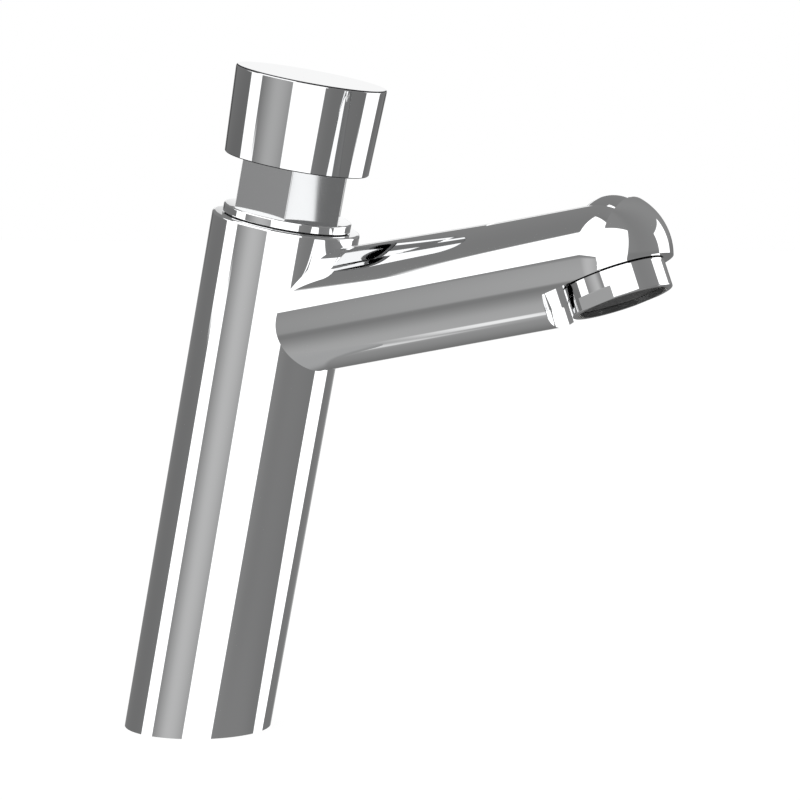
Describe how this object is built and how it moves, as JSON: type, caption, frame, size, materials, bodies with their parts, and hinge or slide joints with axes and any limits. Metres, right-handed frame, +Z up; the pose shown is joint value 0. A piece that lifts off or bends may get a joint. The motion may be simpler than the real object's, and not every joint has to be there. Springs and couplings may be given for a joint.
{
  "type": "push timed basin tap",
  "caption": "Push timed basin tap: a leaning round column with a rising spout, a sliding push button on a hexagonal gland, a self-closing cartridge and a tilted aerator.",
  "frame": {"origin": "centre of the inlet thread's mouth, in the flat face of the base, where the axis of the column meets it", "axes": "+Z up from the base, +X towards the outlet, so the column leans towards +X and the part is symmetric about the XZ plane"},
  "size_m": [0.1882, 0.0456, 0.2056],
  "materials": {
    "chrome": "polished chrome plate on brass",
    "brass": "machined",
    "stainless": "drawn and turned",
    "rubber": "moulded nitrile rubber",
    "acetal": "moulded acetal",
    "regulator_plastic": "moulded"
  },
  "bodies": {
    "tap_body": {"body_casting": "chrome", "base_seal": "rubber", "inlet_restrictor": "acetal", "inlet_strainer": "stainless", "valve_seat": "brass", "seat_oring": "rubber", "cartridge_barrel": "acetal", "barrel_oring": "rubber", "metering_pin": "stainless", "hex_gland": "chrome", "gland_gasket": "rubber", "stem_bush": "acetal", "stem_seal": "rubber", "seal_retainer": "brass", "return_spring": "stainless", "aerator_ring": "chrome", "aerator_insert": "acetal", "aerator_screen": "stainless", "flow_regulator": "regulator_plastic", "aerator_gasket": "rubber"},
    "button": {"push_button": "chrome", "stem": "stainless", "stem_nut": "brass", "piston": "acetal", "piston_lip_seal": "rubber", "piston_circlip": "stainless", "valve_washer": "rubber", "washer_cup": "brass", "washer_nut": "brass"}
  },
  "joints": [
    {"name": "button_press", "type": "slide", "parent": "tap_body", "child": "button", "axis": [-0.2198, 0, -0.9755], "range_m": [0, 0.011], "stiffness_N_per_m": 900, "springref_m": -0.01, "deforming": ["return_spring"]}
  ]
}
